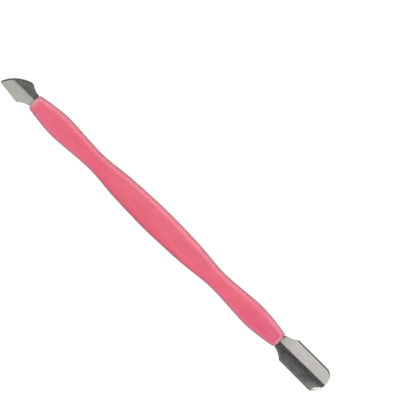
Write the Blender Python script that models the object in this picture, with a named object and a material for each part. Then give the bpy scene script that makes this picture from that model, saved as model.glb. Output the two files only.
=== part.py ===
"""Double-ended cuticle pusher.

A one-piece moulded plastic handle carries a folded sheet-steel head in a socket
at each end: a blunt spoon that pushes the cuticle back, and a curved knife that
scrapes and cleans the nail.  Each head has a tang that stands in a bed of cured
adhesive.  Nothing on the tool moves.

Frame: the origin is the centre of the handle's flat underside.  +X runs along
the handle towards the pusher, +Y across it and +Z up.  Sizes below are in
millimetres and are turned into metres where meshes are made.
"""
import math

import bmesh
import bpy
from mathutils import Vector

MM = 0.001
SHARP_ANGLE = math.radians(24.0)   # edges that turn more than this are shaded sharp
OVERSHOOT = 1.0            # how far the cutters reach past the handle's end faces

# --- handle -----------------------------------------------------------------
HANDLE_LENGTH = 103.7
HANDLE_THICKNESS = 5.0
HALF = HANDLE_LENGTH / 2
MIDDLE_Z = HANDLE_THICKNESS / 2
HANDLE_WIDTHS = (          # (distance from mid-length, width), the same both ways
    (0.0, 8.90),           # belly
    (9.0, 8.45),
    (16.0, 7.70),
    (21.0, 6.60),
    (26.1, 5.95),          # waist, where finger and thumb hold it
    (33.5, 6.80),
    (41.0, 7.70),          # bulb behind the head
    (46.8, 6.80),
    (HALF, 5.20),          # end face
)
SIDE_RADIUS = 2.15         # rounding of the long edges
END_RADIUS = 0.45          # rounding of the edges of the two end faces
CORNER_STEPS = 5           # facets on each rounded long edge
END_STEPS = 3              # facets on the rounding at the end faces
STATION_PITCH = 2.4        # approximate spacing of the sections along the handle

# --- sockets and adhesive ---------------------------------------------------
SOCKET_WIDTH = 3.3
SOCKET_HEIGHT = 2.7
SOCKET_CORNER = 0.35
SOCKET_CORNER_STEPS = 3
SOCKET_DEPTH = 13.0
GLUE_DEPTH = 12.8          # how far in the cured adhesive reaches
GLUE_GAP = 0.06            # between the cured adhesive and the socket's walls
GLUE_RECESS = 0.12         # how far the adhesive stops short of the end face
TANG_GAP = 0.10            # between the cured adhesive and the tang

# --- sheet-steel heads ------------------------------------------------------
SHEET = 1.0                # sheet thickness
WING_ANGLE = math.radians(27.0)   # each half rises or falls this much from flat
FOLD_INNER = 0.15          # bend radius on the inside of the fold
FOLD_OUTER = FOLD_INNER + SHEET
FOLD_STEPS = 3             # facets on each half of the fold
FOLD_CUT_TOLERANCE = 1e-4  # corners this close to a fold line count as on it
TANG_LENGTH = 12.0         # inside the handle
TANG_WIDTH = 2.4
TANG_LEAD = 1.2            # length of the taper at the tang's inner end
TANG_LEAD_STEP = 0.4       # and how much it narrows on each side
HEAD_GAP = 0.15            # between a head's neck and the handle's end face
HEAD_START = HALF + HEAD_GAP      # distance of a head's neck from mid-length
FLARE_STEPS = 5            # facets on each bowed flare
ROUNDING_STEPS = 4         # facets on each rounded corner of an outline

# pusher: wings rise from the crease, so it is a shallow trough seen from above.
# Places along it are distances from the handle's end face.
PUSHER_CREASE_Z = 1.60     # underside of the crease
PUSHER_SHOULDER = (1.50, 2.68)    # distance from the end face, y
PUSHER_SHOULDER_DROP = 0.30       # how much the shoulder slopes in towards the end face
PUSHER_SHOULDER_RADIUS = 0.65
PUSHER_FLARE_END = 4.35
PUSHER_FLARE_BOW = 0.16
PUSHER_FLARE_RADIUS = 0.60        # rounding where the flare meets the straight side
PUSHER_WIDTH = 8.50        # at the flare
PUSHER_TIP_WIDTH = 8.68    # where the tip's rounding starts
PUSHER_TIP_FROM = 16.05
PUSHER_REACH = 19.55
PUSHER_TIP_POWER = 2.35    # 2 is an ellipse, more is squarer
PUSHER_TIP_STEPS = 14      # facets on each half of the tip
PUSHER_MINUS_FLARE_END = 4.10     # the -Y side flares a little sooner and wider
PUSHER_MINUS_WIDTH = 8.74
PUSHER_SKEW = math.radians(-1.0)  # the blade leans this much towards +Y

# knife: wings fall from the crease, so it is a ridge seen from above.
# Its places are (distance from the end face, y).
KNIFE_CREASE_Z = 3.45      # top of the crease
KNIFE_SHOULDER_PLUS = (4.26, 3.82)
KNIFE_SHOULDER_MINUS = (4.15, -3.97)
KNIFE_NECK_PLUS = (1.15, 2.36)
KNIFE_NECK_MINUS = (0.50, -2.00)
KNIFE_NECK_PLUS_DROP = 0.06       # how much the neck's +Y side slopes in to its rounding
KNIFE_NECK_MINUS_DROP = 0.25      # and its -Y side on its way to the end face
KNIFE_NECK_RADIUS = 0.60
KNIFE_FLARE_PLUS_BOW = 0.22
KNIFE_FLARE_MINUS_BOW = 0.30
KNIFE_POINT = (11.92, -2.42)      # end of the curved cutting edge
KNIFE_BACK = (11.62, -3.02)       # where the straight back starts
KNIFE_EDGE_BOW = 1.12      # how far the cutting edge bows out of its chord
KNIFE_EDGE_STEPS = 16
KNIFE_POINT_BOW = 0.14     # the same for the short edge from point to back
KNIFE_POINT_STEPS = 4
KNIFE_GRIND = 0.58         # width of the ground edge, seen from above
KNIFE_GRIND_FADE_IN = 2    # outline steps in which it widens from the shoulder
KNIFE_GRIND_FADE_OUT = 3   # and in which it narrows again towards the back


# --- scene helpers ----------------------------------------------------------
def clear_scene():
    for obj in list(bpy.data.objects):
        bpy.data.objects.remove(obj, do_unlink=True)


def new_collection(name):
    made = bpy.data.collections.new(name)
    bpy.context.scene.collection.children.link(made)
    return made


def new_material(name, colour, roughness, metallic=0.0):
    made = bpy.data.materials.new(name)
    made.use_nodes = True
    made.diffuse_color = (*colour, 1.0)
    shader = made.node_tree.nodes["Principled BSDF"]
    shader.inputs["Base Color"].default_value = (*colour, 1.0)
    shader.inputs["Roughness"].default_value = roughness
    shader.inputs["Metallic"].default_value = metallic
    return made


def object_from(bm, name, where, finish=None):
    """An object from a mesh in metres, its normals out and its rounded faces smooth."""
    bmesh.ops.recalc_face_normals(bm, faces=bm.faces)
    mesh = bpy.data.meshes.new(name)
    bm.to_mesh(mesh)
    bm.free()
    if finish:
        mesh.materials.append(finish)
    mesh.shade_smooth()
    mesh.set_sharp_from_angle(angle=SHARP_ANGLE)
    obj = bpy.data.objects.new(name, mesh)
    where.objects.link(obj)
    return obj


def bridge(bm, first, second):
    """Joins two closed rings of vertices with a band of four-sided faces."""
    for k in range(len(first)):
        following = (k + 1) % len(first)
        bm.faces.new((first[k], first[following], second[following], second[k]))


def cut(obj, cutter):
    """Takes the cutter's space out of an object, and hides the cutter from renders."""
    cutter.hide_render = True
    cutter.display_type = "WIRE"
    boolean = obj.modifiers.new("cut_" + cutter.name, "BOOLEAN")
    boolean.operation = "DIFFERENCE"
    boolean.solver = "EXACT"
    boolean.object = cutter


# --- plan outlines ----------------------------------------------------------
def bowed(start, end, bow, steps):
    """Points of a circular arc from start to end, both left out.

    It bows by this much to the left of the way it goes, or to the right if negative.
    """
    way = Vector(end) - Vector(start)
    chord = way.length
    way.normalize()
    left = Vector((-way.y, way.x))
    radius = (chord * chord / 4 + bow * bow) / (2 * abs(bow))
    points = []
    for k in range(1, steps):
        along = chord * k / steps
        rise = math.sqrt(radius**2 - (along - chord / 2) ** 2) - (radius - abs(bow))
        points.append(tuple(Vector(start) + way * along + left * math.copysign(rise, bow)))
    return points


def rounded(before, corner, after, radius):
    """Points of the arc that rounds one corner of an outline."""
    corner = Vector(corner)
    to_before = (Vector(before) - corner).normalized()
    to_after = (Vector(after) - corner).normalized()
    half_angle = to_before.angle(to_after) / 2
    centre = corner + (to_before + to_after).normalized() * (radius / math.sin(half_angle))
    setback = radius / math.tan(half_angle)
    start = to_before * setback + corner - centre
    end = to_after * setback + corner - centre
    first_turn = math.atan2(start.y, start.x)
    # the shorter way round, between -180 and 180 degrees
    sweep = (math.atan2(end.y, end.x) - first_turn + math.pi) % math.tau - math.pi
    points = []
    for k in range(ROUNDING_STEPS + 1):
        turn = first_turn + sweep * k / ROUNDING_STEPS
        points.append((centre.x + radius * math.cos(turn), centre.y + radius * math.sin(turn)))
    return points


# --- handle -----------------------------------------------------------------
def handle_half_width(x):
    """Half the handle's width at x: a smooth curve through the widths, level at mid-length."""
    places, widths = zip(*HANDLE_WIDTHS)
    last = len(places) - 1
    distance = min(abs(x), places[last])

    def slope(k):
        if k == 0:
            return 0.0
        after = min(k + 1, last)
        return (widths[after] - widths[k - 1]) / (places[after] - places[k - 1])

    # cubic Hermite curve between the two stations either side of x
    k = max(i for i in range(last) if places[i] <= distance)
    span = places[k + 1] - places[k]
    share = (distance - places[k]) / span
    rest = 1 - share
    width = (
        widths[k] * (1 + 2 * share) * rest**2
        + widths[k + 1] * share**2 * (3 - 2 * share)
        + slope(k) * span * share * rest**2
        - slope(k + 1) * span * share**2 * rest
    )
    return width / 2


def handle_section(x, inset):
    """Points round the handle at x: a rounded rectangle, drawn in by inset."""
    radius = SIDE_RADIUS - inset
    centre_y = handle_half_width(x) - inset - radius
    centre_z = MIDDLE_Z - inset - radius
    ring = []
    for quarter, (side_y, side_z) in enumerate(((1, 1), (-1, 1), (-1, -1), (1, -1))):
        for k in range(CORNER_STEPS + 1):
            turn = math.pi / 2 * (quarter + k / CORNER_STEPS)
            y = side_y * centre_y + radius * math.cos(turn)
            z = side_z * centre_z + radius * math.sin(turn)
            ring.append((x, y, MIDDLE_Z + z))
    return ring


def handle_stations():
    """(x, inset) of each section from -X to +X; the insets round the end faces' edges."""
    body = HALF - END_RADIUS
    outer = []
    for k in range(END_STEPS + 1):
        turn = math.pi / 2 * k / END_STEPS
        outer.append((body + END_RADIUS * math.sin(turn), END_RADIUS * (1 - math.cos(turn))))
    count = 2 * round(body / STATION_PITCH)
    inner = [(-body + 2 * body * k / count, 0.0) for k in range(1, count)]
    return [(-x, inset) for x, inset in reversed(outer)] + inner + outer


def build_handle(where, cutters, finish):
    """The handle, lofted through its sections, with a socket cut into each end."""
    bm = bmesh.new()
    rings = [
        [bm.verts.new(Vector(point) * MM) for point in handle_section(x, inset)]
        for x, inset in handle_stations()
    ]
    for first, second in zip(rings, rings[1:]):
        bridge(bm, first, second)
    bm.faces.new(rings[0])
    bm.faces.new(rings[-1])
    handle = object_from(bm, "handle", where, finish)
    for side, end in ((1, "pusher"), (-1, "knife")):
        cut(handle, socket_block(end + "_socket", side, 0.0, OVERSHOOT, SOCKET_DEPTH, cutters))


# --- sockets ----------------------------------------------------------------
def build_block(name, low, high, corner, where, finish):
    """A block between two corners, its four long edges along X rounded."""
    bm = bmesh.new()
    bmesh.ops.create_cube(bm, size=1.0)
    for vert in bm.verts:
        place = [low[i] + (vert.co[i] + 0.5) * (high[i] - low[i]) for i in range(3)]
        vert.co = Vector(place) * MM
    long_edges = [
        edge for edge in bm.edges if abs(edge.verts[0].co.x - edge.verts[1].co.x) > 1e-6
    ]
    bmesh.ops.bevel(
        bm,
        geom=long_edges,
        offset=corner * MM,
        segments=SOCKET_CORNER_STEPS,
        profile=0.5,       # a circular arc
        affect="EDGES",
    )
    return object_from(bm, name, where, finish)


def socket_block(name, side, shrink, mouth, depth, where, finish=None):
    """The space of the socket at the +X (side 1) or -X (side -1) end, drawn in by shrink.

    It runs from mouth outside the end face to depth inside it.
    """
    x_low, x_high = sorted((side * (HALF + mouth), side * (HALF - depth)))
    y = SOCKET_WIDTH / 2 - shrink
    z = SOCKET_HEIGHT / 2 - shrink
    low = (x_low, -y, MIDDLE_Z - z)
    high = (x_high, y, MIDDLE_Z + z)
    return build_block(name, low, high, SOCKET_CORNER - shrink, where, finish)


# --- folded sheet -----------------------------------------------------------
def fold_knots(radius):
    """(distance from the crease, height) of the points where a fold's facets meet."""
    turns = [WING_ANGLE * k / FOLD_STEPS for k in range(FOLD_STEPS + 1)]
    return [(radius * math.sin(turn), radius * (1 - math.cos(turn))) for turn in turns]


def fold_height(distance, radius):
    """Height above the crease at this distance from it: a faceted arc, then a straight wing."""
    knots = fold_knots(radius)
    for (near, near_height), (far, far_height) in zip(knots, knots[1:]):
        if distance <= far:
            share = (distance - near) / (far - near)
            return near_height + (far_height - near_height) * share
    return far_height + (distance - far) * math.tan(WING_ANGLE)


def sheet_lean(y):
    """How far an edge cut square through the sheet leans towards the crease.

    It is measured in plan, from the fold's outer face to its inner face.
    """
    lean = SHEET * min(abs(y) / FOLD_OUTER, math.sin(WING_ANGLE))
    return math.copysign(lean, y)


def inner_face(outline):
    """Plan outline of the fold's inner face, from its outer face's, for square-cut edges."""
    return [(x, y - sheet_lean(y)) for x, y in outline]


def build_blade(name, lower, upper, crease_z, rises, where, finish=None, extra=0.0):
    """A blade folded along y = 0, lofted between the plan outlines of its two faces.

    crease_z is the height of the crease's outside: on the lower face where the wings
    rise from it, and on the upper face where they fall from it.  extra thickens the
    sheet on both faces.
    """
    bm = bmesh.new()
    under = [bm.verts.new((x, y, 0.0)) for x, y in lower]
    over = [bm.verts.new((x, y, 1.0)) for x, y in upper]
    bm.faces.new(under)
    bm.faces.new(over)
    bridge(bm, under, over)

    # the fold lines of both faces, as edges parallel to the crease
    inner, outer = FOLD_INNER - extra, FOLD_OUTER + extra
    fold_lines = {
        side * distance
        for radius in (inner, outer)
        for distance, _ in fold_knots(radius)
        for side in (-1, 1)
    }
    for y in sorted(fold_lines):
        bmesh.ops.bisect_plane(
            bm,
            geom=bm.verts[:] + bm.edges[:] + bm.faces[:],
            dist=FOLD_CUT_TOLERANCE,
            plane_co=(0, y, 0),
            plane_no=(0, 1, 0),
        )

    # z holds the share of the thickness until here; now the sheet is folded
    for vert in bm.verts:
        distance = abs(vert.co.y)
        outside = fold_height(distance, outer) - extra
        inside = fold_height(distance, inner) + SHEET + extra
        if rises:
            vert.co.z = crease_z + outside + (inside - outside) * vert.co.z
        else:
            vert.co.z = crease_z - outside - (inside - outside) * (1 - vert.co.z)
        vert.co *= MM
    return object_from(bm, name, where, finish)


def tang_outline(side, grow=0.0, mouth=HEAD_GAP):
    """Plan outline of the tang from root to root round its inner end.

    It goes counter-clockwise for its end of the tool, and its roots stand mouth
    outside the handle's end face.
    """
    root, inner = side * (HALF + mouth), side * (HALF - TANG_LENGTH - grow)
    half_width = TANG_WIDTH / 2 + grow
    plus = [
        (root, half_width),
        (inner + side * TANG_LEAD, half_width),
        (inner, half_width - TANG_LEAD_STEP),
    ]
    around = plus + [(x, -y) for x, y in reversed(plus)]
    return [(x, side * y) for x, y in around]


# --- pusher -----------------------------------------------------------------
def pusher_side(flare_end, flare_y):
    """The +Y half of the pusher's outline, from its tip back along the side to the neck."""
    points = []
    exponent = 2 / PUSHER_TIP_POWER
    for k in range(PUSHER_TIP_STEPS + 1):
        turn = math.pi / 2 * k / PUSHER_TIP_STEPS
        # the last cosine can come out just off zero
        out = math.cos(turn) ** exponent if k < PUSHER_TIP_STEPS else 0.0
        x = HALF + PUSHER_TIP_FROM + (PUSHER_REACH - PUSHER_TIP_FROM) * out
        points.append((x, PUSHER_TIP_WIDTH / 2 * math.sin(turn) ** exponent))
    shoulder_out, shoulder_y = PUSHER_SHOULDER
    shoulder = (HALF + shoulder_out, shoulder_y)
    neck = (HEAD_START, shoulder_y - PUSHER_SHOULDER_DROP)
    corner = rounded(points[-1], (HALF + flare_end, flare_y), shoulder, PUSHER_FLARE_RADIUS)
    points += corner
    points += bowed(corner[-1], shoulder, PUSHER_FLARE_BOW, FLARE_STEPS)
    points.append(shoulder)
    return points + rounded(shoulder, neck, (HEAD_START, 0.0), PUSHER_SHOULDER_RADIUS)


def skewed(points):
    """Leans the pusher sideways beyond its flare, and leaves its neck where it is."""
    lean = math.tan(PUSHER_SKEW)
    return [(x, y + lean * max(0.0, x - HALF - PUSHER_FLARE_END)) for x, y in points]


def pusher_outline():
    """Plan outline of the pusher's lower face, counter-clockwise from its tip."""
    plus = pusher_side(PUSHER_FLARE_END, PUSHER_WIDTH / 2)
    minus = pusher_side(PUSHER_MINUS_FLARE_END, PUSHER_MINUS_WIDTH / 2)
    # the tip's first point belongs to both sides
    mirrored = [(x, -y) for x, y in reversed(minus[1:])]
    return skewed(plus) + tang_outline(1) + skewed(mirrored)


def build_pusher(where, finish):
    lower = pusher_outline()
    build_blade("pusher_head", lower, inner_face(lower), PUSHER_CREASE_Z, True, where, finish)


# --- knife ------------------------------------------------------------------
def knife_place(place):
    """(x, y) of a place given as (distance from the -X end face, y)."""
    return (-HALF - place[0], place[1])


def knife_ground_edge():
    """The lower and upper face along the ground edge, from the +Y shoulder to the back.

    Here the lower face reaches further out than the upper; the back is left out.
    """
    shoulder, point, back = map(knife_place, (KNIFE_SHOULDER_PLUS, KNIFE_POINT, KNIFE_BACK))
    edge = [shoulder]
    edge += bowed(shoulder, point, -KNIFE_EDGE_BOW, KNIFE_EDGE_STEPS)
    edge.append(point)
    edge += bowed(point, back, -KNIFE_POINT_BOW, KNIFE_POINT_STEPS)
    path = edge + [back]
    lower, upper = [], []
    for k, (x, y) in enumerate(edge):
        way = (Vector(path[k + 1]) - Vector(path[max(k - 1, 0)])).normalized()
        share = min(1.0, k / KNIFE_GRIND_FADE_IN, (len(edge) - k) / KNIFE_GRIND_FADE_OUT)
        inward = Vector((-way.y, way.x)) * KNIFE_GRIND * share
        upper.append((x + inward.x, y + inward.y))
        lower.append((x, y - sheet_lean(y) * (1 - share)))
    return lower, upper


def knife_square_edges():
    """The upper face along every other edge, from the back round the tang to the shoulder."""
    shoulder_plus, shoulder_minus = map(knife_place, (KNIFE_SHOULDER_PLUS, KNIFE_SHOULDER_MINUS))
    neck_plus, neck_minus = map(knife_place, (KNIFE_NECK_PLUS, KNIFE_NECK_MINUS))
    neck_corner = (-HEAD_START, neck_plus[1] - KNIFE_NECK_PLUS_DROP)
    points = [knife_place(KNIFE_BACK), shoulder_minus]
    points += bowed(shoulder_minus, neck_minus, KNIFE_FLARE_MINUS_BOW, FLARE_STEPS)
    points += [neck_minus, (-HEAD_START, neck_minus[1] + KNIFE_NECK_MINUS_DROP)]
    points += tang_outline(-1)
    points += rounded((-HEAD_START, 0.0), neck_corner, neck_plus, KNIFE_NECK_RADIUS)
    points.append(neck_plus)
    points += bowed(neck_plus, shoulder_plus, KNIFE_FLARE_PLUS_BOW, FLARE_STEPS)
    return points


def build_knife(where, finish):
    lower, upper = knife_ground_edge()
    square = knife_square_edges()
    lower += inner_face(square)
    upper += square
    build_blade("knife_head", lower, upper, KNIFE_CREASE_Z, False, where, finish)


# --- adhesive ---------------------------------------------------------------
def build_adhesive(name, side, crease_z, rises, where, cutters, finish):
    """The cured adhesive: the socket's space less the tang's, with a gap to each."""
    bed = socket_block(name, side, GLUE_GAP, -GLUE_RECESS, GLUE_DEPTH, where, finish)
    outer = tang_outline(side, grow=TANG_GAP, mouth=OVERSHOOT)
    inner = inner_face(outer)
    lower, upper = (outer, inner) if rises else (inner, outer)
    space = build_blade(
        name + "_tang_space", lower, upper, crease_z, rises, cutters, extra=TANG_GAP
    )
    cut(bed, space)


def main():
    clear_scene()
    parts = new_collection("cuticle_pusher")
    cutters = new_collection("cutters")

    pink = new_material("pink_plastic", colour=(0.80, 0.15, 0.22), roughness=0.38)
    steel = new_material(
        "folded_steel", colour=(0.52, 0.51, 0.49), roughness=0.32, metallic=1.0
    )
    amber = new_material("cured_adhesive", colour=(0.22, 0.10, 0.05), roughness=0.25)

    build_handle(parts, cutters, pink)
    build_pusher(parts, steel)
    build_knife(parts, steel)
    build_adhesive("pusher_adhesive", 1, PUSHER_CREASE_Z, True, parts, cutters, amber)
    build_adhesive("knife_adhesive", -1, KNIFE_CREASE_Z, False, parts, cutters, amber)


main()
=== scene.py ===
"""Looks of the double-ended cuticle pusher.

The tool lies along X on the floor: the pusher head points to +X, the knife head
to -X, and the handle's middle is at x = 0.  Five pieces ride on the root: a
moulded plastic handle, two heads of folded steel sheet, and the cured adhesive
that holds each head in its socket.  Sizes are in millimetres until a mesh is
made; places in plan are (x, y).
"""

import math

import bmesh
import bpy
from mathutils import Matrix, Vector, noise


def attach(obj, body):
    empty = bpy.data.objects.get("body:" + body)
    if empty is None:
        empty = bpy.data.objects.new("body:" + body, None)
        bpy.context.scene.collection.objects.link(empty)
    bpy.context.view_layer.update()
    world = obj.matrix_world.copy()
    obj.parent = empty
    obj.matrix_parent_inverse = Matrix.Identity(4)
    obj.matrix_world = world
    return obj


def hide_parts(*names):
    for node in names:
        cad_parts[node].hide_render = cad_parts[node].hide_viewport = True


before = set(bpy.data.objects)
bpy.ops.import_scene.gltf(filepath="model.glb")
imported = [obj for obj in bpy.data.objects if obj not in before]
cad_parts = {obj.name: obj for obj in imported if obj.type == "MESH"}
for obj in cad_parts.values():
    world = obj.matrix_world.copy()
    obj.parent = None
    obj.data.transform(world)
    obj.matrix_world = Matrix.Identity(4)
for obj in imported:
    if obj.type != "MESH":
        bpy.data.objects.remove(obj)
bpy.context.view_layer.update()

MM = 0.001                 # metres in a millimetre

# --- sizes shared by the pieces ---------------------------------------------------
HANDLE_LENGTH, HANDLE_THICKNESS = 103.7, 5.0
HALF, MIDDLE_Z = HANDLE_LENGTH / 2, HANDLE_THICKNESS / 2
SOCKET_WIDTH, SOCKET_HEIGHT, SOCKET_CORNER, SOCKET_DEPTH = 3.3, 2.7, 0.35, 13.0
SHEET = 1.0                # thickness of the steel
TANG_LENGTH, TANG_WIDTH = 12.0, 2.4
TANG_LEAD, TANG_LEAD_STEP = 1.2, 0.4   # taper at the tang's end: its length, and its depth a side
HEAD_GAP = 0.15            # between the handle's end and the root of each blade


# --- helpers for meshes and pieces ------------------------------------------------
def smooth(share):
    share = min(1.0, max(0.0, share))
    return share * share * (3 - 2 * share)


def socket_reach(angle, grow=0.0):
    """Distance from the socket's centre to its wall along an angle, the wall moved out by grow."""
    half_y, half_z = SOCKET_WIDTH / 2 + grow, SOCKET_HEIGHT / 2 + grow
    corner = SOCKET_CORNER + grow
    cos, sin = abs(math.cos(angle)), abs(math.sin(angle))
    far = min(half_y / cos if cos > 1e-9 else 1e9, half_z / sin if sin > 1e-9 else 1e9)
    if far * cos > half_y - corner and far * sin > half_z - corner:
        centre_y, centre_z = half_y - corner, half_z - corner
        along = centre_y * cos + centre_z * sin
        offset = centre_y * centre_y + centre_z * centre_z - corner * corner
        far = along + math.sqrt(max(0.0, along * along - offset))
    return far


def heading(angle):
    return Vector((math.cos(angle), math.sin(angle)))


def skin(draft, rings):
    """Faces between neighbouring rings of vertices: one list for each pair of rings."""
    bands = []
    for first, second in zip(rings, rings[1:]):
        band = []
        for k in range(len(first)):
            n = (k + 1) % len(first)
            band.append(draft.faces.new((first[k], first[n], second[n], second[k])))
        bands.append(band)
    return bands


def close_ends(draft, rings):
    draft.faces.new(rings[0])
    draft.faces.new(rings[-1])


def finish_mesh(draft, name, sharp):
    """An object from a bmesh, smooth but for edges sharper than an angle in degrees."""
    bmesh.ops.recalc_face_normals(draft, faces=draft.faces)
    if all(e.is_manifold for e in draft.edges) and draft.calc_volume(signed=True) < 0.0:
        bmesh.ops.reverse_faces(draft, faces=draft.faces[:])
    mesh = bpy.data.meshes.new(name)
    draft.to_mesh(mesh)
    draft.free()
    mesh.shade_smooth()
    mesh.set_sharp_from_angle(angle=math.radians(sharp))
    obj = bpy.data.objects.new(name, mesh)
    bpy.context.scene.collection.objects.link(obj)
    return obj


def as_piece(obj, node, materials):
    for material in materials:
        obj.data.materials.append(material)
    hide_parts(node)
    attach(obj, "root")
    return obj


# --- handle -----------------------------------------------------------------------
# distance from the middle, full width; the same towards both ends
HANDLE_WIDTHS = (
    (0.0, 8.90), (9.0, 8.45), (16.0, 7.70), (21.0, 6.60), (26.1, 5.95),
    (33.5, 6.80), (41.0, 7.70), (46.8, 6.80), (HALF, 5.20),
)
# the eased rim of each end: distance back from the end, inset of the section
END_PROFILE = (
    (0.84, 0.0), (0.74, 0.012), (0.62, 0.05), (0.48, 0.115), (0.34, 0.19),
    (0.21, 0.27), (0.11, 0.35), (0.04, 0.43), (0.0, 0.51),
)
END_SIDE_SHARE = 0.24      # share of the inset the sides take, so the ends stay nearly square in plan
# the end face: distance back from the end, share of the way from its rim to the socket's mouth
END_FACE = ((0.015, 0.33), (0.02, 0.7))
# the socket: distance back from the end, how far its wall is moved out
SOCKET_MOUTH = 0.12
SOCKET_PROFILE = (
    (0.02, SOCKET_MOUTH), (0.05, 0.04), (0.13, 0.0), (1.0, 0.0),
    (SOCKET_DEPTH - 0.2, -0.02), (SOCKET_DEPTH, -0.16),
)
CORNER_REACH = 2.3         # how far in from the side the section's shoulder starts
CORNER_MOST = 0.94         # the most of the half width a shoulder takes
CORNER_POWER = 2.7         # 2 is an ellipse, more is squarer
CROWN_RADIUS = 30.0        # of the slightly domed top and underside
FLASH = 0.045              # height of the moulding's parting line
FLASH_REACH = 0.09         # how far above and below the middle it spreads
FLAT_STEPS = 6             # across the top, from a shoulder to the middle
STATION_PITCH, PIP_STATION_PITCH = 0.7, 0.09
PIP_RADIUS, PIP_HEIGHT = 0.38, 0.08
PIP_START, PIP_PITCH = (47.85, -1.1), (0.95, 0.98)
PIPS = [
    (PIP_START[0] + PIP_PITCH[0] * i, PIP_START[1] + PIP_PITCH[1] * j)
    for i in range(3) for j in range(2)
]
PIP_BAND = (47.3, 50.4)    # x from and to where stations stand close, for the pips
# heights (share of the half thickness), then widths (share of the shoulder), of its points
SHOULDER_HEIGHTS = (0.0, 0.012, 0.024, 0.042, 0.07, 0.12, 0.2, 0.3, 0.42, 0.54, 0.66, 0.76)
SHOULDER_WIDTHS = (0.78, 0.70, 0.62, 0.54, 0.46, 0.38, 0.30, 0.22, 0.14, 0.07, 0.0)


def raw_half_width(x):
    """Half the tabled width, on a cubic through the table's points."""
    places, widths = zip(*HANDLE_WIDTHS)
    last = len(places) - 1
    distance = min(abs(x), places[last])

    def slope(k):
        if k == 0:
            return 0.0
        before, after = max(k - 1, 0), min(k + 1, last)
        return (widths[after] - widths[before]) / (places[after] - places[before])

    k = max(i for i in range(last) if places[i] <= distance)
    span = places[k + 1] - places[k]
    share = (distance - places[k]) / span
    width = (
        widths[k] * (1 + 2 * share) * (1 - share) ** 2
        + widths[k + 1] * share * share * (3 - 2 * share)
        + slope(k) * span * share * (1 - share) ** 2
        - slope(k + 1) * span * share * share * (1 - share)
    )
    return width / 2


def half_width(x):
    """The half width, its curvature evened out along the handle."""
    total = total_weight = 0.0
    for k in range(-4, 5):
        weight = math.exp(-0.5 * (k / 2.0) ** 2)
        place = x + 0.6 * k
        if abs(place) > HALF:      # carry the end's slope on past the end face
            end = raw_half_width(HALF)
            value = end + (end - raw_half_width(HALF - 1.0)) * (abs(place) - HALF)
        else:
            value = raw_half_width(place)
        total += weight * value
        total_weight += weight
    return total / total_weight


def shoulder_turns():
    """Angles round a shoulder, from the parting line to where the top starts."""
    turns = [math.asin(z ** (CORNER_POWER / 2)) for z in SHOULDER_HEIGHTS]
    high = [math.acos(y ** (CORNER_POWER / 2)) for y in SHOULDER_WIDTHS]
    lowest = turns[-1] + 0.01
    return turns + [turn for turn in high if turn > lowest]


TURNS = shoulder_turns()


def handle_section(x, inset):
    """(y, z) round the handle at x, z from the middle.

    It runs from the +Y parting line over the top and back underneath.
    """
    half_y, half_z = half_width(x) - inset * END_SIDE_SHARE, MIDDLE_Z - inset
    reach = min(CORNER_REACH - inset, half_y * CORNER_MOST)
    uneven = 0.45 + 0.55 * noise.noise(Vector((x * 0.35, 3.1, 0.0)))
    flash = FLASH * uneven * (1.0 if inset < 0.05 else 0.4)
    edge = half_y - reach
    quarter = []
    for turn in TURNS:
        y = edge + reach * math.cos(turn) ** (2 / CORNER_POWER)
        quarter.append((y, half_z * math.sin(turn) ** (2 / CORNER_POWER)))
    quarter += [(edge * (1 - k / FLAT_STEPS), half_z) for k in range(1, FLAT_STEPS)]
    shaped = []
    for y, z in quarter:
        bulge = flash * max(0.0, 1 - (z / FLASH_REACH) ** 2)
        shaped.append((y + bulge, z - (z / half_z) * y * y / (2 * CROWN_RADIUS)))
    ring = shaped + [(0.0, half_z)] + [(-y, z) for y, z in reversed(shaped)]
    ring += [(-y, -z) for y, z in shaped[1:]] + [(0.0, -half_z)]
    return ring + [(y, -z) for y, z in reversed(shaped[1:])]


def handle_point(x, y, z):
    """A section point with the slight waviness of a moulded surface and the moulded pips."""
    wave = noise.noise(Vector((x * 0.11, y * 0.2 + 7.0, z * 0.2))) * 0.018
    wave += noise.noise(Vector((x * 0.35, y * 0.35, z * 0.35 + 5.0))) * 0.006
    reach = math.hypot(y, z)
    if reach > 1.2:
        shrink = 1 - max(0.0, wave) / reach
        y, z = y * shrink, z * shrink
    if z > 1.0:
        for pip_x, pip_y in PIPS:
            away = math.hypot(x - pip_x, y - pip_y) / PIP_RADIUS
            if away < 1:
                z += PIP_HEIGHT * (1 - away * away) ** 1.5
    return Vector((x, y, MIDDLE_Z + z)) * MM


def add_end(draft, side, ring):
    """An end face, dished a little, and its socket; side is 1 at +X and -1 at -X."""
    rim = [Vector((v.co.y / MM, v.co.z / MM - MIDDLE_Z)) for v in ring]
    angles = [math.atan2(point.y, point.x) for point in rim]

    def socket(grow):
        return [heading(angle) * socket_reach(angle, grow) for angle in angles]

    mouth = socket(SOCKET_MOUTH)
    outlines = [
        (back, [r.lerp(m, share) for r, m in zip(rim, mouth)]) for back, share in END_FACE
    ]
    outlines += [(back, socket(grow)) for back, grow in SOCKET_PROFILE]
    loops = [ring]
    for back, points in outlines:
        x = side * (HALF - back)
        loops.append([draft.verts.new(Vector((x, p.x, MIDDLE_Z + p.y)) * MM) for p in points])
    skin(draft, loops)
    draft.faces.new(loops[-1])


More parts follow.
